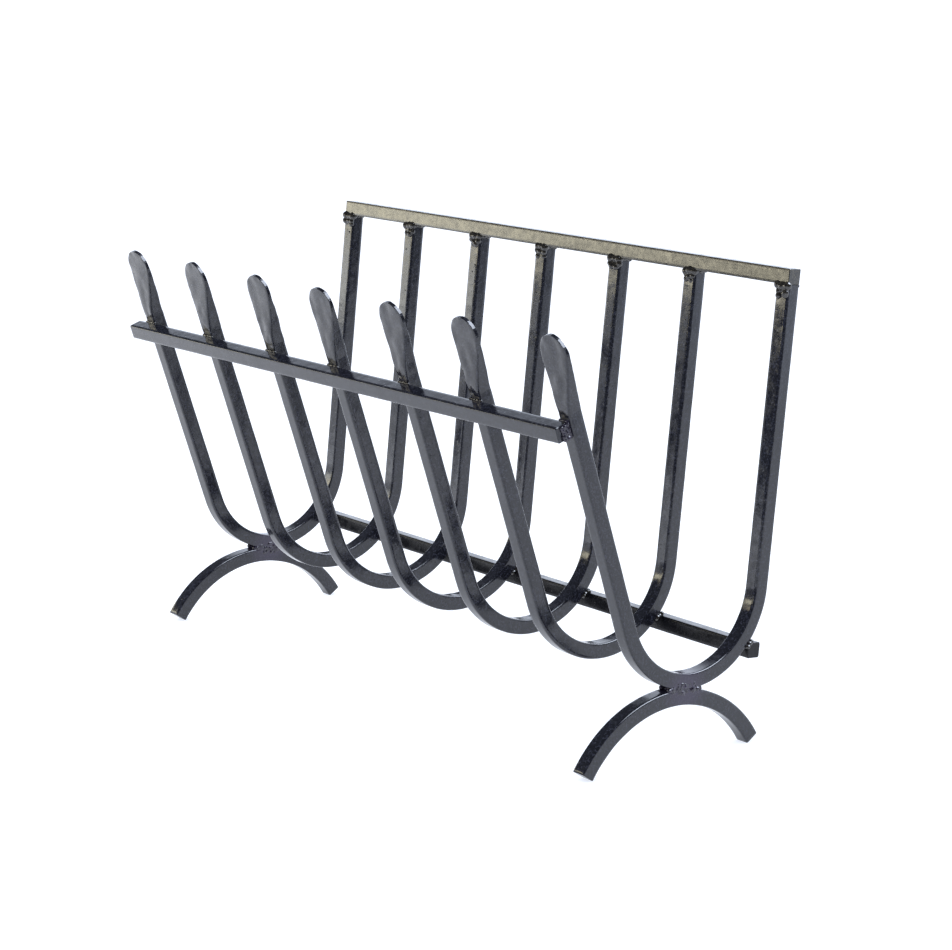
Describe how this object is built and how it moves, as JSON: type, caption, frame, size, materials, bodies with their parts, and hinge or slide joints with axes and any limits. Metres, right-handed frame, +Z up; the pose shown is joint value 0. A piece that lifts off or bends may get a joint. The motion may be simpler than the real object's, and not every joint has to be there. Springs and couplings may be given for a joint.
{
  "type": "firewood log rack",
  "caption": "Open log rack of bent square bar: U-shaped ribs with forged leaf tips, joined by straight rails and standing on arched feet.",
  "frame": {"origin": "on the floor, under the middle of the rack's outline", "axes": "+X along the rails to the right end as seen from the front, +Y to the tall back, +Z up"},
  "size_m": [0.5736, 0.2394, 0.3616],
  "materials": {
    "black_paint": "satin black paint over mild-steel bar",
    "worn_paint": "thin satin black paint with a warm steel sheen and fine pits",
    "painted_weld": "uneven glossy black paint over weld beads"
  },
  "bodies": {
    "root": {"rib_1": "black_paint", "rib_2": "black_paint", "rib_3": "black_paint", "rib_4": "black_paint", "rib_5": "black_paint", "rib_6": "black_paint", "rib_7": "black_paint", "top_rail": "worn_paint", "front_rail": "black_paint", "lower_rail": "black_paint", "foot_left": "black_paint", "foot_right": "black_paint", "top_weld_1": "painted_weld", "top_weld_2": "painted_weld", "top_weld_3": "painted_weld", "top_weld_4": "painted_weld", "top_weld_5": "painted_weld", "top_weld_6": "painted_weld", "top_weld_7": "painted_weld", "front_weld_1": "painted_weld", "front_weld_2": "painted_weld", "front_weld_3": "painted_weld", "front_weld_4": "painted_weld", "front_weld_5": "painted_weld", "front_weld_6": "painted_weld", "front_weld_7": "painted_weld", "lower_weld_1": "painted_weld", "lower_weld_2": "painted_weld", "lower_weld_3": "painted_weld", "lower_weld_4": "painted_weld", "lower_weld_5": "painted_weld", "lower_weld_6": "painted_weld", "lower_weld_7": "painted_weld", "foot_weld_left": "painted_weld", "foot_weld_right": "painted_weld"}
  },
  "joints": []
}
